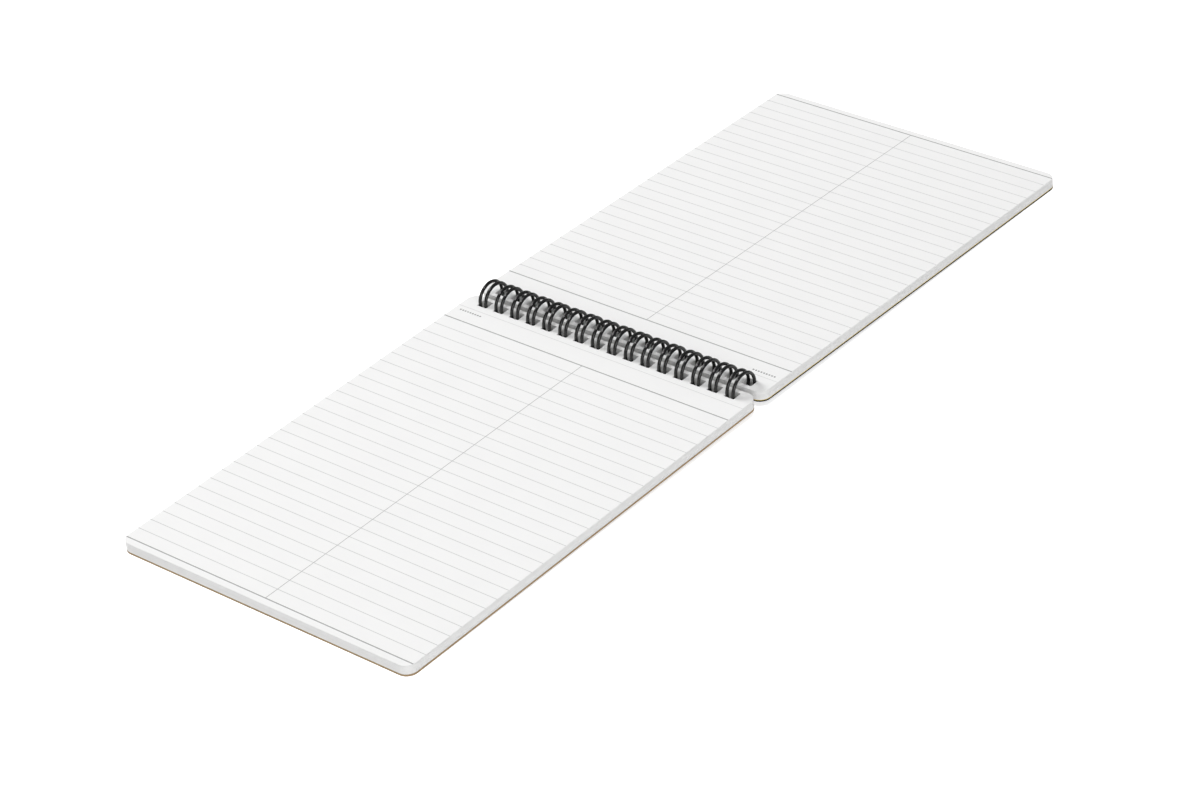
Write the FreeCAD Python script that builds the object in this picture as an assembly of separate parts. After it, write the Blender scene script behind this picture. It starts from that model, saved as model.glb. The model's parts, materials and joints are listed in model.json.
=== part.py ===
import FreeCAD, Part
import math
import os

from FreeCAD import Vector

os.makedirs("parts", exist_ok=True)

# Open wire-bound notepad, in millimetres and degrees.
# X runs along the binding, +Y towards the turned half, +Z up.
# The origin is on the table, under the middle of the binding.
# Angles round the binding are measured from +Y towards +Z.

# Sheets and covers
page_width = 146.0  # along the binding
page_length = 203.2  # from the binding edge to the outer edge
corner_radius = 4.7  # all four corners of every sheet and cover
remaining_stack_thickness = 3.97  # about forty sheets
turned_stack_thickness = 3.97
back_cover_thickness = 0.86
front_cover_thickness = 0.86
spine_half_gap = 1.2  # from the ring axis to the binding edge of each half
closing_gap = 0.36  # left between the two halves when the pad is shut

# Binding wire
wire_diameter = 1.4
loop_pitch = 25.4 / 3  # three loops to the inch
end_margin = 9.0  # least distance from a sheet's side to an end loop's centre
twin_spacing = 3.0  # between the two wires of a loop, on centre
bar_bend_radius = 1.0  # where a loop turns into the bar that leads to the next one
end_stub_length = 0.6  # straight wire left past the last bend at each end
seam_opening = 28.0  # degrees between the loops' closed tips and the bars
seam_middle = 265.0  # sets the tips and the bars level with each other on the table

# Holes
spine_margin = 1.9  # paper between the binding edge and the holes
hole_clearance = 0.32  # wire to hole, across the binding
hole_side_clearance = 0.22  # wire to hole, along the binding
hole_corner_radius = 0.35

# Worked out from the sizes above
wire_radius = wire_diameter / 2
near_depth = closing_gap / 2 + remaining_stack_thickness + back_cover_thickness
far_depth = closing_gap / 2 + turned_stack_thickness + front_cover_thickness
half_depth = max(near_depth, far_depth)
hole_start = spine_half_gap + spine_margin
ring_inner_radius = math.hypot(hole_start + hole_clearance, half_depth)
ring_radius = ring_inner_radius + wire_radius
hole_end = ring_radius + wire_radius + hole_clearance
hole_width = twin_spacing + wire_diameter + 2 * hole_side_clearance
outer_edge = spine_half_gap + page_length
loop_count = int((page_width - 2 * end_margin) / loop_pitch) + 1
first_loop_x = -loop_pitch * (loop_count - 1) / 2
loop_centres = [first_loop_x + loop_pitch * index for index in range(loop_count)]

# The loops leave the bars just past the bottom of the ring and end short of it.
tip_bend_radius = twin_spacing / 2
reach_difference = math.degrees((tip_bend_radius - bar_bend_radius) / ring_radius)
loop_start = seam_middle + (seam_opening - reach_difference) / 2
loop_end = seam_middle + 360 - (seam_opening + reach_difference) / 2


def outward(angle):
    """Unit vector pointing out of the ring at an angle."""
    turn = math.radians(angle)
    return Vector(0, math.cos(turn), math.sin(turn))


def along(angle):
    """Unit vector pointing round the ring at an angle."""
    return outward(angle + 90)


def ring_point(x, angle):
    """Point of a loop wire's centre line, seen from the ring axis."""
    return outward(angle) * ring_radius + Vector(x, 0, 0)


def seam_depth():
    """How far below the ring axis the tips and the bars reach."""
    tip_low = (ring_point(0, loop_end) + along(loop_end) * tip_bend_radius).z
    bar_low = (ring_point(0, loop_start) - along(loop_start) * bar_bend_radius).z
    return wire_radius - min(tip_low, bar_low, -ring_radius)


axis_height = seam_depth()


def resting_slope(depth):
    """Angle at which a half's outer lower edge comes down to the table."""
    reach = math.hypot(outer_edge, depth)
    return math.degrees(math.asin(axis_height / reach) - math.atan2(depth, outer_edge))


near_slope = resting_slope(near_depth)
far_slope = resting_slope(far_depth)


def on_circle(centre, radius, angle):
    turn = math.radians(angle)
    return centre + Vector(math.cos(turn), math.sin(turn), 0) * radius


def rounded_rectangle(low_x, high_x, low_y, high_y, radius):
    """Closed wire of a rectangle with round corners, drawn at height 0."""
    corners = [
        (high_x - radius, high_y - radius, 0),
        (low_x + radius, high_y - radius, 90),
        (low_x + radius, low_y + radius, 180),
        (high_x - radius, low_y + radius, 270),
    ]
    edges = []
    for index, (x, y, start) in enumerate(corners):
        centre = Vector(x, y, 0)
        points = [on_circle(centre, radius, start + turn) for turn in (0, 45, 90)]
        edges.append(Part.Arc(*points).toShape())
        next_x, next_y, next_start = corners[(index + 1) % len(corners)]
        arrival = on_circle(Vector(next_x, next_y, 0), radius, next_start)
        edges.append(Part.LineSegment(points[-1], arrival).toShape())
    return Part.Wire(edges)


def punched_sheet(top, thickness):
    """One flat board or stack on the +Y side of the ring axis, with its row of holes."""
    outline = rounded_rectangle(
        -page_width / 2, page_width / 2, spine_half_gap, outer_edge, corner_radius
    )
    wires = [outline]
    for centre in loop_centres:
        low_x = centre - hole_width / 2
        high_x = centre + hole_width / 2
        wires.append(rounded_rectangle(low_x, high_x, hole_start, hole_end, hole_corner_radius))
    face = Part.Face(wires, "Part::FaceMakerBullseye")
    solid = face.extrude(Vector(0, 0, thickness))
    solid.translate(Vector(0, 0, top - thickness))
    return solid


def lay_far(sheet):
    """Lets a sheet of the turned half down onto the table, about the ring axis."""
    sheet.rotate(Vector(0, 0, 0), Vector(1, 0, 0), -far_slope)
    sheet.translate(Vector(0, 0, axis_height))
    return sheet


def lay_near(sheet):
    """Turns a sheet to the near side and lets it down onto the table."""
    sheet.rotate(Vector(0, 0, 0), Vector(0, 0, 1), 180)
    sheet.rotate(Vector(0, 0, 0), Vector(1, 0, 0), near_slope)
    sheet.translate(Vector(0, 0, axis_height))
    return sheet


def loop_arc(x, start, end):
    """One wire of a loop, as two arcs round the ring axis."""
    middle = (start + end) / 2
    arcs = []
    for first, last in ((start, middle), (middle, end)):
        halfway = ring_point(x, (first + last) / 2)
        arc = Part.Arc(ring_point(x, first), halfway, ring_point(x, last))
        arcs.append(arc.toShape())
    return arcs


def bar_corner(x, direction):
    """Bend between a bar and a loop wire: direction 1 enters the loop, -1 leaves it."""
    centre = ring_point(x - direction * bar_bend_radius, loop_start)
    at_loop = ring_point(x, loop_start)
    at_bar = centre - along(loop_start) * bar_bend_radius
    diagonal = Vector(direction, 0, 0) - along(loop_start)
    halfway = centre + diagonal * (bar_bend_radius / math.sqrt(2))
    if direction > 0:
        return Part.Arc(at_bar, halfway, at_loop).toShape(), at_bar
    return Part.Arc(at_loop, halfway, at_bar).toShape(), at_bar


def tip_bend(centre_x):
    """Round end of a loop, where its two wires meet."""
    left = ring_point(centre_x - tip_bend_radius, loop_end)
    right = ring_point(centre_x + tip_bend_radius, loop_end)
    apex = ring_point(centre_x, loop_end) + along(loop_end) * tip_bend_radius
    return Part.Arc(left, apex, right).toShape()


def wire_path():
    """Centre line of the whole binding wire, from its left end to its right end."""
    edges = []
    previous_end = None
    for centre in loop_centres:
        left = centre - tip_bend_radius
        right = centre + tip_bend_radius
        entry, bar_end = bar_corner(left, 1)
        if previous_end is None:
            previous_end = bar_end - Vector(end_stub_length, 0, 0)
        edges.append(Part.LineSegment(previous_end, bar_end).toShape())
        edges.append(entry)
        edges.extend(loop_arc(left, loop_start, loop_end))
        edges.append(tip_bend(centre))
        edges.extend(loop_arc(right, loop_end, loop_start))
        leaving, previous_end = bar_corner(right, -1)
        edges.append(leaving)
    last_end = previous_end + Vector(end_stub_length, 0, 0)
    edges.append(Part.LineSegment(previous_end, last_end).toShape())
    return Part.Wire(edges)


def binding_wire():
    path = wire_path()
    start = path.Edges[0].Vertexes[0].Point
    section = Part.Wire(Part.Circle(start, Vector(1, 0, 0), wire_radius).toShape())
    solid = path.makePipe(Part.Face(section))
    solid.translate(Vector(0, 0, axis_height))
    print("binding wire length", round(path.Length, 1), "volume", round(solid.Volume, 2))
    print("section times length", round(math.pi * wire_radius ** 2 * path.Length, 2))
    return solid


page_top = -closing_gap / 2
near_bottom = page_top - remaining_stack_thickness
far_bottom = page_top - turned_stack_thickness

nodes = {
    "back_cover": lay_near(punched_sheet(near_bottom, back_cover_thickness)),
    "remaining_pages": lay_near(punched_sheet(page_top, remaining_stack_thickness)),
    "front_cover": lay_far(punched_sheet(far_bottom, front_cover_thickness)),
    "turned_pages": lay_far(punched_sheet(page_top, turned_stack_thickness)),
    "binding_wire": binding_wire(),
}

print("ring axis height", round(axis_height, 4), "ring radius", round(ring_radius, 4))
print("holes from", round(hole_start, 3), "to", round(hole_end, 3), "width", round(hole_width, 3))
print("slopes", round(near_slope, 4), round(far_slope, 4), "loops", loop_count)

for name, shape in nodes.items():
    box = shape.BoundBox
    print(name, shape.isValid(), len(shape.Solids), round(shape.Volume, 1), box)
    shape.exportStep("parts/" + name + ".step")
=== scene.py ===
import json
import math
import random

import bmesh
import bpy
from mathutils import Euler, Matrix, Vector


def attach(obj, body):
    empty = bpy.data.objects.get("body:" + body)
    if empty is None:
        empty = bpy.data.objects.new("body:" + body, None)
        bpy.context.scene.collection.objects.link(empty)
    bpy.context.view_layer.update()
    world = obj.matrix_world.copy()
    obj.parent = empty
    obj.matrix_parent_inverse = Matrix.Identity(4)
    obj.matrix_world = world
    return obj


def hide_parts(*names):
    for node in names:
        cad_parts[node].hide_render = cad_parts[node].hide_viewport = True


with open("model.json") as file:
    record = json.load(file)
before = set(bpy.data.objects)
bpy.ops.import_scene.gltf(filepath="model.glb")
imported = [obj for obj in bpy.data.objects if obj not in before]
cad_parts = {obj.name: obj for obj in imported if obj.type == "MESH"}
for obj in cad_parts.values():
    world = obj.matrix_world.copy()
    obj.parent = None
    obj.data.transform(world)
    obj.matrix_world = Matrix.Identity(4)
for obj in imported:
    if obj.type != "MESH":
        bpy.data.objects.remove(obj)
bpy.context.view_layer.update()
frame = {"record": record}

mm = 0.001
turnJoint = next(j for j in frame["record"]["behaviour"]["joints"] if j["name"] == "front_cover_turn")
ringAxisHeight = turnJoint["pos_m"][2]  # every sheet and cover turns about this line

# The pad, in millimetres: both halves share one outline and one row of holes
pad = {
    "width": 146.0,
    "length": 203.2,
    "cornerRadius": 4.7,
    "halfGap": 1.2,  # ring axis to the binding edge
    "pageTop": -0.18,  # below the ring axis
    "stack": 3.97,
    "cover": 0.86,
    "holeStart": 3.1,
    "holeEnd": 7.786,
    "holeWidth": 4.84,
    "holeCorner": 0.35,
    "loops": 16,
    "loopPitch": 25.4 / 3,
}
firstLoop = -pad["loopPitch"] * (pad["loops"] - 1) / 2
loopCentres = [firstLoop + pad["loopPitch"] * i for i in range(pad["loops"])]
outerEdge = pad["halfGap"] + pad["length"]
halfDepth = pad["stack"] + pad["cover"] - pad["pageTop"]
axisUp = ringAxisHeight / mm
slope = math.asin(axisUp / math.hypot(outerEdge, halfDepth)) - math.atan2(halfDepth, outerEdge)


# Small helpers

def placeHalf(far):
    # flat half, drawn from the ring axis along +Y, to where it lies on the table
    turned = Euler((-slope, 0, 0 if far else math.pi)).to_matrix().to_4x4()
    return Matrix.Translation((0, 0, ringAxisHeight)) @ turned @ Matrix.Scale(mm, 4)


def makePiece(bm, name, materials, body, smooth=False):
    mesh = bpy.data.meshes.new(name)
    bm.to_mesh(mesh)
    bm.free()
    piece = bpy.data.objects.new(name, mesh)
    bpy.context.scene.collection.objects.link(piece)
    for material in materials:
        mesh.materials.append(material)
    for face in mesh.polygons:
        face.use_smooth = smooth
    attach(piece, body)
    return piece


def vertsOf(made):
    # the vertices among what an operator made
    return [part for part in made["geom"] if isinstance(part, bmesh.types.BMVert)]


def roundedFace(bm, lowX, highX, lowY, highY, radius, segments):
    # one flat face with its four corners rounded
    middle = Matrix.Translation(((lowX + highX) / 2, (lowY + highY) / 2, 0))
    stretch = Matrix.Diagonal((highX - lowX, highY - lowY, 1, 1))
    made = bmesh.ops.create_grid(bm, x_segments=1, y_segments=1, size=0.5, matrix=middle @ stretch)
    bmesh.ops.bevel(bm, geom=made["verts"], offset=radius, offset_type="OFFSET",
                    affect="VERTICES", segments=segments, profile=0.5, material=-1)


def punchedOutline(cornerSegments, holeSegments, inset=0.0):
    # a flat sheet outline with its row of holes, filled, at height 0
    bm = bmesh.new()
    side = pad["width"] / 2 - inset
    roundedFace(bm, -side, side, pad["halfGap"] + inset, outerEdge - inset,
                pad["cornerRadius"] - inset, cornerSegments)
    reach = pad["holeWidth"] / 2
    for x in loopCentres:
        roundedFace(bm, x - reach, x + reach, pad["holeStart"], pad["holeEnd"],
                    pad["holeCorner"], holeSegments)
    bmesh.ops.delete(bm, geom=bm.faces[:], context="FACES_ONLY")
    bmesh.ops.triangle_fill(bm, edges=bm.edges[:], use_beauty=True, use_dissolve=False, normal=(0, 0, 1))
    return bm


# Nodes that the materials share

def newMaterial(name):
    material = bpy.data.materials.new(name)
    material.use_nodes = True
    nodes = material.node_tree.nodes
    return material, nodes, material.node_tree.links, nodes["Principled BSDF"]


def mathNode(nodes, links, operation, first, second=None, third=None):
    node = nodes.new("ShaderNodeMath")
    node.operation = operation
    for socket, value in zip(node.inputs, (first, second, third)):
        if value is None:
            continue
        if isinstance(value, (int, float)):
            socket.default_value = value
        else:
            links.new(value, socket)
    return node.outputs[0]


def blendNode(nodes, links, first, second, share):
    # that share of the second value, and the rest of the first
    part = mathNode(nodes, links, "MULTIPLY", second, share)
    return mathNode(nodes, links, "MULTIPLY_ADD", first, 1 - share, part)


def noiseNode(nodes, links, vector, grain):
    scale, detail, roughness = grain
    node = nodes.new("ShaderNodeTexNoise")
    node.inputs["Scale"].default_value = scale
    node.inputs["Detail"].default_value = detail
    node.inputs["Roughness"].default_value = roughness
    links.new(vector, node.inputs["Vector"])
    return node.outputs["Fac"]


def rampNode(nodes, links, factor, stops):
    node = nodes.new("ShaderNodeValToRGB")
    ramp = node.color_ramp
    while len(ramp.elements) < len(stops):
        ramp.elements.new(0.5)
    for element, (position, colour) in zip(ramp.elements, stops):
        element.position = position
        element.color = (*colour, 1)
    links.new(factor, node.inputs["Fac"])
    return node.outputs["Color"]


def mixColour(nodes, links, factor, first, second):
    # the second colour over the first, as strongly as the factor says
    node = nodes.new("ShaderNodeMix")
    node.data_type = "RGBA"
    links.new(factor, node.inputs[0])
    links.new(first, node.inputs[6])
    node.inputs[7].default_value = (*second, 1)
    return node.outputs[2]


def setSurface(nodes, links, shader, look, height, unevenness=None):
    # gloss and relief, with a roughness that follows the unevenness where there is one
    if unevenness is None:
        shader.inputs["Roughness"].default_value = look["roughness"]
    else:
        rough = mathNode(nodes, links, "MULTIPLY_ADD", unevenness, look["roughSpread"], look["roughness"])
        links.new(rough, shader.inputs["Roughness"])
    shader.inputs["Specular IOR Level"].default_value = look["specular"]
    strength, depth = look["relief"]
    node = nodes.new("ShaderNodeBump")
    node.inputs["Strength"].default_value = strength
    node.inputs["Distance"].default_value = depth
    links.new(height, node.inputs["Height"])
    links.new(node.outputs["Normal"], shader.inputs["Normal"])


def halfCoordinates(nodes, links, far, stretch=(1, 1, 1)):
    # object coordinates turned back into the flat half, in millimetres
    source = nodes.new("ShaderNodeTexCoord")
    mapping = nodes.new("ShaderNodeMapping")
    mapping.vector_type = "TEXTURE"
    mapping.inputs["Location"].default_value = (0, 0, ringAxisHeight)
    mapping.inputs["Rotation"].default_value = (-slope, 0, 0 if far else math.pi)
    mapping.inputs["Scale"].default_value = [mm / s for s in stretch]
    links.new(source.outputs["Object"], mapping.inputs["Vector"])
    return mapping.outputs["Vector"]


# Looks. A grain is a noise's scale, detail and roughness, and a stretch is how much finer it
# is along each axis of the flat half. A relief is a bump's strength and its depth in metres.

paper = {
    "tones": ((0.35, (0.885, 0.885, 0.882)), (0.62, (0.905, 0.905, 0.9))),
    "cloud": (0.06, 3, 0.5),
    "fibre": (1.6, 4, 0.65),
    "fibreShare": 0.5,
    "roughness": 0.78,
    "specular": 0.25,
    "relief": (0.35, 0.000012),
}

printing = {
    "ink": (0.06, 0.06, 0.062),
    "header": 20.2,  # millimetres from the ring axis
    "rulePitch": 6.463,
    "ruleCount": 28,
    "ruleWidth": 0.30,
    "ruleDark": 0.40,
    "boldWidth": 0.52,
    "boldDark": 0.66,
    "centreWidth": 0.32,
    "centreDark": 0.55,
    "faintAt": 11.07,
    "faintWidth": 0.24,
    "faintDark": 0.32,
    "dashAt": 13.6,  # row of dashes where a title is written
    "dashStart": 58.8,
    "dashEnd": 70.5,
    "dashPitch": 1.3,
    "dashShare": 0.62,
    "dashWidth": 0.75,
    "dashDark": 0.75,
    "softEdge": 0.02,
}


def stripe(nodes, links, value, centre, width):
    # 1 inside a band of that width, and 0 outside it
    away = mathNode(nodes, links, "ABSOLUTE", mathNode(nodes, links, "SUBTRACT", value, centre))
    node = nodes.new("ShaderNodeMapRange")
    node.inputs["From Min"].default_value = width / 2 + printing["softEdge"]
    node.inputs["From Max"].default_value = width / 2 - printing["softEdge"]
    links.new(away, node.inputs["Value"])
    return node.outputs["Result"]


def printedLines(nodes, links, coordinates):
    # how dark the print is at a place of the flat half
    split = nodes.new("ShaderNodeSeparateXYZ")
    links.new(coordinates, split.inputs[0])
    across, down = split.outputs["X"], split.outputs["Y"]

    def calc(operation, first, second=None):
        return mathNode(nodes, links, operation, first, second)

    def line(value, centre, kind):
        return stripe(nodes, links, value, centre, printing[kind + "Width"])

    bottom = printing["header"] + printing["rulePitch"] * printing["ruleCount"]
    belowHeader = calc("GREATER_THAN", down, printing["header"])
    inRules = calc("MULTIPLY", belowHeader, calc("LESS_THAN", down, bottom))
    steps = calc("DIVIDE", calc("SUBTRACT", down, printing["header"]), printing["rulePitch"])
    offStep = calc("SUBTRACT", calc("FRACT", calc("ADD", steps, 0.5)), 0.5)
    offRule = calc("MULTIPLY", offStep, printing["rulePitch"])
    rules = calc("MULTIPLY", line(offRule, 0, "rule"), inRules)
    centre = calc("MULTIPLY", line(across, 0, "centre"), inRules)
    bold = calc("MAXIMUM", line(down, printing["header"], "bold"), line(down, bottom, "bold"))
    faint = line(down, printing["faintAt"], "faint")
    places = calc("DIVIDE", calc("SUBTRACT", across, printing["dashStart"]), printing["dashPitch"])
    dashes = calc("LESS_THAN", calc("FRACT", places), printing["dashShare"])
    dashRow = calc("MULTIPLY", line(down, printing["dashAt"], "dash"), dashes)
    dashRow = calc("MULTIPLY", dashRow, calc("GREATER_THAN", across, printing["dashStart"]))
    dashRow = calc("MULTIPLY", dashRow, calc("LESS_THAN", across, printing["dashEnd"]))
    dark = calc("MULTIPLY", rules, printing["ruleDark"])
    for mask, kind in ((centre, "centre"), (bold, "bold"), (faint, "faint"), (dashRow, "dash")):
        dark = calc("MAXIMUM", dark, calc("MULTIPLY", mask, printing[kind + "Dark"]))
    return dark


def ruledPaper(far):
    # white stock with a faint cloud, the fine fibre of uncoated paper and the printed lines
    material, nodes, links, shader = newMaterial("turnedPaperFace" if far else "remainingPaperFace")
    coordinates = halfCoordinates(nodes, links, far)
    cloud = noiseNode(nodes, links, coordinates, paper["cloud"])
    fibre = noiseNode(nodes, links, coordinates, paper["fibre"])
    tone = blendNode(nodes, links, cloud, fibre, paper["fibreShare"])
    colour = rampNode(nodes, links, tone, paper["tones"])
    dark = printedLines(nodes, links, coordinates)
    links.new(mixColour(nodes, links, dark, colour, printing["ink"]), shader.inputs["Base Color"])
    setSurface(nodes, links, shader, paper, fibre)
    return material


paperCut = {
    "tones": ((0.3, (0.84, 0.84, 0.836)), (0.7, (0.93, 0.93, 0.926))),
    "layer": (1.0, 3, 0.6),
    "layerStretch": (0.02, 0.02, 7),
    "drag": (1.0, 2, 0.5),
    "dragStretch": (6, 6, 0.4),
    "roughness": 0.85,
    "specular": 0.2,
    "relief": (0.3, 0.00001),
}


def paperEdge(far):
    # cut edge of the stack: each sheet a shade of its own, with the guillotine's fine drag marks
    material, nodes, links, shader = newMaterial("turnedPaperEdge" if far else "remainingPaperEdge")
    layers = noiseNode(nodes, links, halfCoordinates(nodes, links, far, paperCut["layerStretch"]),
                       paperCut["layer"])
    links.new(rampNode(nodes, links, layers, paperCut["tones"]), shader.inputs["Base Color"])
    drag = noiseNode(nodes, links, halfCoordinates(nodes, links, far, paperCut["dragStretch"]),
                     paperCut["drag"])
    setSurface(nodes, links, shader, paperCut, drag)
    return material


kraft = {
    "tones": ((0.34, (0.28, 0.19, 0.098)), (0.62, (0.43, 0.305, 0.165))),
    "fibre": (1.0, 5, 0.7),
    "fibreStretch": (0.35, 1.6, 1.6),
    "fibreShare": 0.86,
    "cloud": (0.05, 3, 0.5),
    "fleck": (1.0, 2, 0.5),
    "fleckStretch": (0.8, 2.6, 2.6),
    "fleckStops": ((0.66, (0, 0, 0)), (0.72, (1, 1, 1))),
    "fleckDark": 0.35,
    "fleckColour": (0.12, 0.075, 0.04),
    "roughness": 0.82,
    "specular": 0.25,
    "relief": (0.5, 0.00003),
}


def kraftBoard():
    # brown board: long fibres in both tones, small dark flecks, matt
    material, nodes, links, shader = newMaterial("kraftBoard")
    fibres = noiseNode(nodes, links, halfCoordinates(nodes, links, False, kraft["fibreStretch"]),
                       kraft["fibre"])
    clouds = noiseNode(nodes, links, halfCoordinates(nodes, links, False), kraft["cloud"])
    tone = blendNode(nodes, links, clouds, fibres, kraft["fibreShare"])
    colour = rampNode(nodes, links, tone, kraft["tones"])
    flecks = noiseNode(nodes, links, halfCoordinates(nodes, links, False, kraft["fleckStretch"]),
                       kraft["fleck"])
    spots = rampNode(nodes, links, flecks, kraft["fleckStops"])
    dark = mathNode(nodes, links, "MULTIPLY", spots, kraft["fleckDark"])
    links.new(mixColour(nodes, links, dark, colour, kraft["fleckColour"]), shader.inputs["Base Color"])
    setSurface(nodes, links, shader, kraft, fibres)
    return material


blackWrap = {
    "tones": ((0.3, (0.003, 0.003, 0.003)), (0.7, (0.007, 0.007, 0.007))),
    "grain": (1.0, 3, 0.6),
    "grainStretch": (2.2, 2.2, 2.2),
    "roughness": 0.36,
    "roughSpread": 0.16,
    "specular": 0.15,
    "relief": (0.35, 0.00003),
}


def blackBoard():
    # satin black wrap with a fine pressed grain
    material, nodes, links, shader = newMaterial("blackBoard")
    grain = noiseNode(nodes, links, halfCoordinates(nodes, links, True, blackWrap["grainStretch"]),
                      blackWrap["grain"])
    links.new(rampNode(nodes, links, grain, blackWrap["tones"]), shader.inputs["Base Color"])
    setSurface(nodes, links, shader, blackWrap, grain, unevenness=grain)
    return material


liner = {
    "tones": ((0.3, (0.77, 0.57, 0.16)), (0.7, (0.83, 0.64, 0.2))),
    "fibre": (1.0, 4, 0.65),
    "fibreStretch": (0.8, 1.8, 1.8),
    "roughness": 0.7,
    "specular": 0.5,
    "relief": (0.3, 0.00002),
}


def paleLiner():
    # pale yellow paper laminated inside the front cover
    material, nodes, links, shader = newMaterial("paleLiner")
    fibre = noiseNode(nodes, links, halfCoordinates(nodes, links, True, liner["fibreStretch"]),
                      liner["fibre"])
    links.new(rampNode(nodes, links, fibre, liner["tones"]), shader.inputs["Base Color"])
    setSurface(nodes, links, shader, liner, fibre)
    return material


coat = {
    "tones": ((0.3, (0.002, 0.002, 0.002)), (0.75, (0.005, 0.005, 0.0052))),
    "peel": (1500, 3, 0.5),  # scales per metre here
    "worn": (260, 3, 0.55),
    "roughness": 0.08,
    "roughSpread": 0.1,
    "specular": 0.5,
    "relief": (0.12, 0.00001),
}


def coatedWire():
    # steel wire in a glossy black nylon coat, with the coat's slight orange peel
    material, nodes, links, shader = newMaterial("coatedWire")
    source = nodes.new("ShaderNodeTexCoord")
    peel = noiseNode(nodes, links, source.outputs["Object"], coat["peel"])
    worn = noiseNode(nodes, links, source.outputs["Object"], coat["worn"])
    links.new(rampNode(nodes, links, worn, coat["tones"]), shader.inputs["Base Color"])
    setSurface(nodes, links, shader, coat, peel, unevenness=worn)
    return material


# Page stacks: forty separate sheets a side

stack = {
    "sheets": 40,
    "air": 0.003,  # left between two sheets
    "inset": 0.07,  # keeps shifted sheets inside the stack's own outline
    "shift": 0.028,
    "shiftLimit": 2,  # in shifts
    "cornerSegments": 8,
    "holeSegments": 3,
    "seed": 7,
}


def sheetShift(draw):
    # how far one sheet lies off the stack, along one axis
    limit = stack["shiftLimit"]
    return max(-limit, min(limit, draw.gauss(0, 1))) * stack["shift"]


def pageStack(far, nodeName, body):
    draw = random.Random(stack["seed"] + (1 if far else 0))
    pitch = pad["stack"] / stack["sheets"]
    bm = punchedOutline(stack["cornerSegments"], stack["holeSegments"], stack["inset"])
    walls = bmesh.ops.extrude_face_region(bm, geom=bm.faces[:])
    bmesh.ops.translate(bm, verts=vertsOf(walls), vec=(0, 0, pitch - stack["air"]))
    bmesh.ops.recalc_face_normals(bm, faces=bm.faces[:])
    for face in bm.faces:
        face.material_index = 1
    first = bm.verts[:] + bm.edges[:] + bm.faces[:]
    lowest = [face for face in bm.faces if face.normal.z < -0.5]
    bottom = pad["pageTop"] - pad["stack"] + stack["air"] / 2
    bmesh.ops.translate(bm, verts=bm.verts[:], vec=(0, 0, bottom))
    for count in range(1, stack["sheets"]):
        copied = bmesh.ops.duplicate(bm, geom=first)
        offset = (sheetShift(draw), sheetShift(draw), count * pitch)
        bmesh.ops.translate(bm, verts=vertsOf(copied), vec=offset)
    lastFaces = [part for part in copied["geom"] if isinstance(part, bmesh.types.BMFace)]
    highest = [face for face in lastFaces if face.normal.z > 0.5]
    for face in lowest + highest:
        face.material_index = 0  # the two printed faces that can be seen
    bmesh.ops.transform(bm, matrix=placeHalf(far), verts=bm.verts[:])
    name = "turnedSheets" if far else "remainingSheets"
    piece = makePiece(bm, name, [ruledPaper(far), paperEdge(far)], body)
    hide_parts(nodeName)
    print(name, "sheets", stack["sheets"], "faces", len(piece.data.polygons))


# Covers

board = {
    "linerThickness": 0.23,
    "inset": 0.02,
    "edgeBevel": 0.05,
    "bevelSegments": 2,
    "rimAngle": 1.2,  # an edge that turns by more, in radians, is a rim
    "cornerSegments": 10,
    "holeSegments": 4,
}


def coverPlate(low, high, far, name, material, body):
    bm = punchedOutline(board["cornerSegments"], board["holeSegments"], board["inset"])
    walls = bmesh.ops.extrude_face_region(bm, geom=bm.faces[:])
    bmesh.ops.translate(bm, verts=vertsOf(walls), vec=(0, 0, high - low))
    bmesh.ops.translate(bm, verts=bm.verts[:], vec=(0, 0, low))
    bmesh.ops.recalc_face_normals(bm, faces=bm.faces[:])
    closed = [edge for edge in bm.edges if len(edge.link_faces) == 2]
    rims = [edge for edge in closed if edge.calc_face_angle(0) > board["rimAngle"]]
    bmesh.ops.bevel(bm, geom=rims, offset=board["edgeBevel"], affect="EDGES",
                    segments=board["bevelSegments"], profile=0.5, material=-1)
    bmesh.ops.transform(bm, matrix=placeHalf(far), verts=bm.verts[:])
    piece = makePiece(bm, name, [material], body)
    print(name, "faces", len(piece.data.polygons))
    return piece


def makeCovers():
    top = pad["pageTop"] - pad["stack"]
    bottom = top - pad["cover"]
    seam = top - board["linerThickness"]
    back = coverPlate(bottom, top, False, "kraftBackBoard", kraftBoard(), "back_cover")
    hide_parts("back_cover")
    front = coverPlate(bottom, seam, True, "blackFrontBoard", blackBoard(), "front_cover")
    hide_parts("front_cover")
    coverPlate(seam, top, True, "paleInnerLiner", paleLiner(), "front_cover")


# Binding wire: one tube grown along the whole run of loops

wire = {
    "radius": 0.7,
    "ringRadius": 6.766,
    "twinSpacing": 3.0,
    "barBend": 1.0,
    "stub": 0.6,
    "seamMiddle": 265.0,
    "seamOpening": 28.0,
    "section": 18,
    "arcSteps": 72,
    "tipSteps": 12,
    "bendSteps": 6,
    "rimTolerance": 0.01,
}


def growTurn(bm, loop, centre, axis, angle, steps):
    # carries the tube's open end round an axis and returns the new open end
    verts = list({v for e in loop for v in e.verts})
    made = bmesh.ops.spin(bm, geom=verts + loop, cent=centre, axis=axis, angle=angle, steps=steps,
                          use_merge=False, use_duplicate=False)
    return [part for part in made["geom_last"] if isinstance(part, bmesh.types.BMEdge)]


def ringDirection(angle):
    return Vector((0, math.cos(angle), math.sin(angle)))


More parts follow.
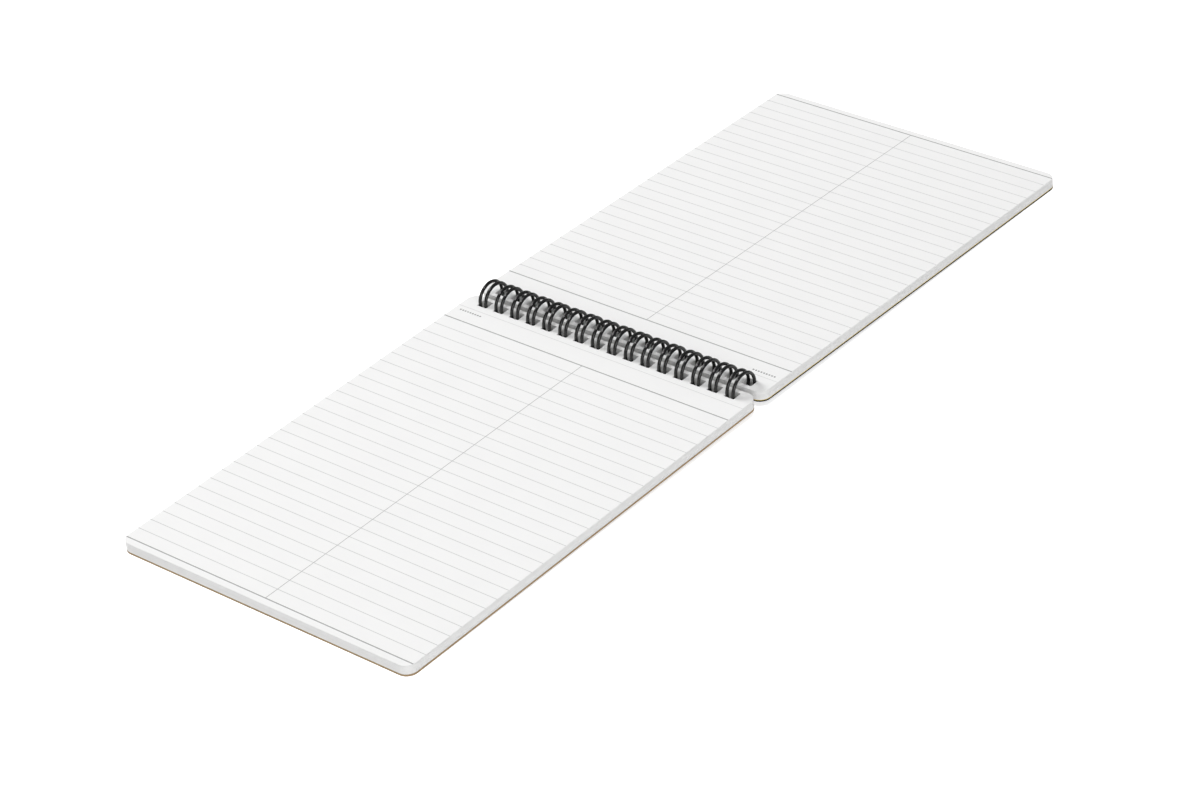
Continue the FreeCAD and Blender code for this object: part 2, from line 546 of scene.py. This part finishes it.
def twinLoop(tipBend):
    # one loop at the middle of the binding, from bar bend to bar bend, open at both ends
    lean = (tipBend - wire["barBend"]) / wire["ringRadius"]
    opening = math.radians(wire["seamOpening"])
    seam = math.radians(wire["seamMiddle"])
    start = seam + (opening - lean) / 2
    end = seam + 2 * math.pi - (opening + lean) / 2
    outStart, outEnd = ringDirection(start), ringDirection(end)
    alongStart = ringDirection(start + math.pi / 2)
    xAxis = Vector((1, 0, 0))
    reach = tipBend + wire["barBend"]
    entry = outStart * wire["ringRadius"] - xAxis * reach
    leaving = outStart * wire["ringRadius"] + xAxis * reach
    facing = Matrix.Translation(entry - alongStart * wire["barBend"]) @ Matrix.Rotation(math.pi / 2, 4, "Y")
    bm = bmesh.new()
    bmesh.ops.create_circle(bm, cap_ends=False, segments=wire["section"], radius=wire["radius"],
                            matrix=facing)
    loop = growTurn(bm, bm.edges[:], entry, outStart, -math.pi / 2, wire["bendSteps"])
    loop = growTurn(bm, loop, (0, 0, 0), xAxis, end - start, wire["arcSteps"])
    loop = growTurn(bm, loop, outEnd * wire["ringRadius"], outEnd, math.pi, wire["tipSteps"])
    loop = growTurn(bm, loop, (0, 0, 0), xAxis, start - end, wire["arcSteps"])
    growTurn(bm, loop, leaving, outStart, -math.pi / 2, wire["bendSteps"])
    return bm, reach


def openEnd(bm, x):
    # the open rim of tube in the plane at x
    rims = [edge for edge in bm.edges if edge.is_boundary]
    return [edge for edge in rims if all(abs(v.co.x - x) < wire["rimTolerance"] for v in edge.verts)]


def bindingWire():
    bm, reach = twinLoop(wire["twinSpacing"] / 2)
    first = bm.verts[:] + bm.edges[:] + bm.faces[:]
    for x in loopCentres[1:]:
        copied = bmesh.ops.duplicate(bm, geom=first)
        bmesh.ops.translate(bm, verts=vertsOf(copied), vec=(x - loopCentres[0], 0, 0))
    bmesh.ops.translate(bm, verts=bm.verts[:], vec=(loopCentres[0], 0, 0))
    for left, right in zip(loopCentres, loopCentres[1:]):
        bmesh.ops.bridge_loops(bm, edges=openEnd(bm, left + reach) + openEnd(bm, right - reach))
    for x, stub in ((loopCentres[0] - reach, -wire["stub"]), (loopCentres[-1] + reach, wire["stub"])):
        made = bmesh.ops.extrude_edge_only(bm, edges=openEnd(bm, x))
        bmesh.ops.translate(bm, verts=vertsOf(made), vec=(stub, 0, 0))
    bmesh.ops.holes_fill(bm, edges=[edge for edge in bm.edges if edge.is_boundary], sides=0)
    bmesh.ops.recalc_face_normals(bm, faces=bm.faces[:])
    lift = Matrix.Translation((0, 0, ringAxisHeight)) @ Matrix.Scale(mm, 4)
    bmesh.ops.transform(bm, matrix=lift, verts=bm.verts[:])
    piece = makePiece(bm, "twinLoopWire", [coatedWire()], "binding_wire", smooth=True)
    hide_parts("binding_wire")
    print("twinLoopWire faces", len(piece.data.polygons))


# Studio: white floor, soft lamps above, to the left and to the right

studio = {
    "floorSize": 6.0,
    "floorColour": (0.9, 0.9, 0.9),
    "floorRoughness": 0.9,
    "cameraGlow": 0.68,  # white that only the camera sees on the floor
    "worldLevel": 0.33,
    "keyPower": 33.5,
    "keySize": 0.65,
    "keyPlace": (0.8, -0.8, 3.35),
    "leftPower": 59.0,
    "leftSize": 1.6,
    "leftPlace": (-2.4, 0.05, 2.1),
    "fillPower": 22.0,
    "fillSize": 1.4,
    "fillPlace": (2.2, -1.5, 0.75),
}


def makeFloor():
    bm = bmesh.new()
    bmesh.ops.create_grid(bm, x_segments=1, y_segments=1, size=studio["floorSize"] / 2)
    mesh = bpy.data.meshes.new("floor")
    bm.to_mesh(mesh)
    bm.free()
    floor = bpy.data.objects.new("floor", mesh)
    bpy.context.scene.collection.objects.link(floor)
    material, nodes, links, shader = newMaterial("floorWhite")
    shader.inputs["Base Color"].default_value = (*studio["floorColour"], 1)
    shader.inputs["Roughness"].default_value = studio["floorRoughness"]
    shader.inputs["Specular IOR Level"].default_value = 0.0
    path = nodes.new("ShaderNodeLightPath")
    shader.inputs["Emission Color"].default_value = (1, 1, 1, 1)
    glow = mathNode(nodes, links, "MULTIPLY", path.outputs["Is Camera Ray"], studio["cameraGlow"])
    links.new(glow, shader.inputs["Emission Strength"])
    mesh.materials.append(material)


def makeWorld():
    # white to the camera, and dimmer as a light
    world = bpy.data.worlds.new("studio")
    bpy.context.scene.world = world
    world.use_nodes = True
    nodes, links = world.node_tree.nodes, world.node_tree.links
    path = nodes.new("ShaderNodeLightPath")
    background = nodes["Background"]
    background.inputs["Color"].default_value = (1, 1, 1, 1)
    level = mathNode(nodes, links, "MULTIPLY_ADD", path.outputs["Is Camera Ray"],
                     1 - studio["worldLevel"], studio["worldLevel"])
    links.new(level, background.inputs["Strength"])


def areaLight(name):
    # a square lamp aimed at the middle of the pad
    place = Vector(studio[name + "Place"])
    data = bpy.data.lights.new(name, "AREA")
    data.shape = "SQUARE"
    data.energy = studio[name + "Power"]
    data.size = studio[name + "Size"]
    light = bpy.data.objects.new(name, data)
    light.location = place
    light.rotation_euler = (-place).to_track_quat("-Z", "Y").to_euler()
    bpy.context.scene.collection.objects.link(light)


camera = {
    "place": (0.85567, -0.93953, 0.79356),
    "turn": (57.2923, 4.8457, 39.5783),
    "lens": 113.045,
    "sensor": 36,
    "reach": 20,
}


def makeCamera():
    data = bpy.data.cameras.new("camera")
    data.lens = camera["lens"]
    data.sensor_width = camera["sensor"]
    data.clip_end = camera["reach"]
    viewer = bpy.data.objects.new("camera", data)
    viewer.location = camera["place"]
    viewer.rotation_euler = [math.radians(angle) for angle in camera["turn"]]
    bpy.context.scene.collection.objects.link(viewer)
    bpy.context.scene.camera = viewer


makeCamera()
makeWorld()
makeFloor()
for lamp in ("key", "left", "fill"):
    areaLight(lamp)
print("studio ready")
pageStack(False, "remaining_pages", "remaining_pages")
pageStack(True, "turned_pages", "turned_pages")
makeCovers()
bindingWire()
bpy.context.scene.view_settings.view_transform = "Standard"
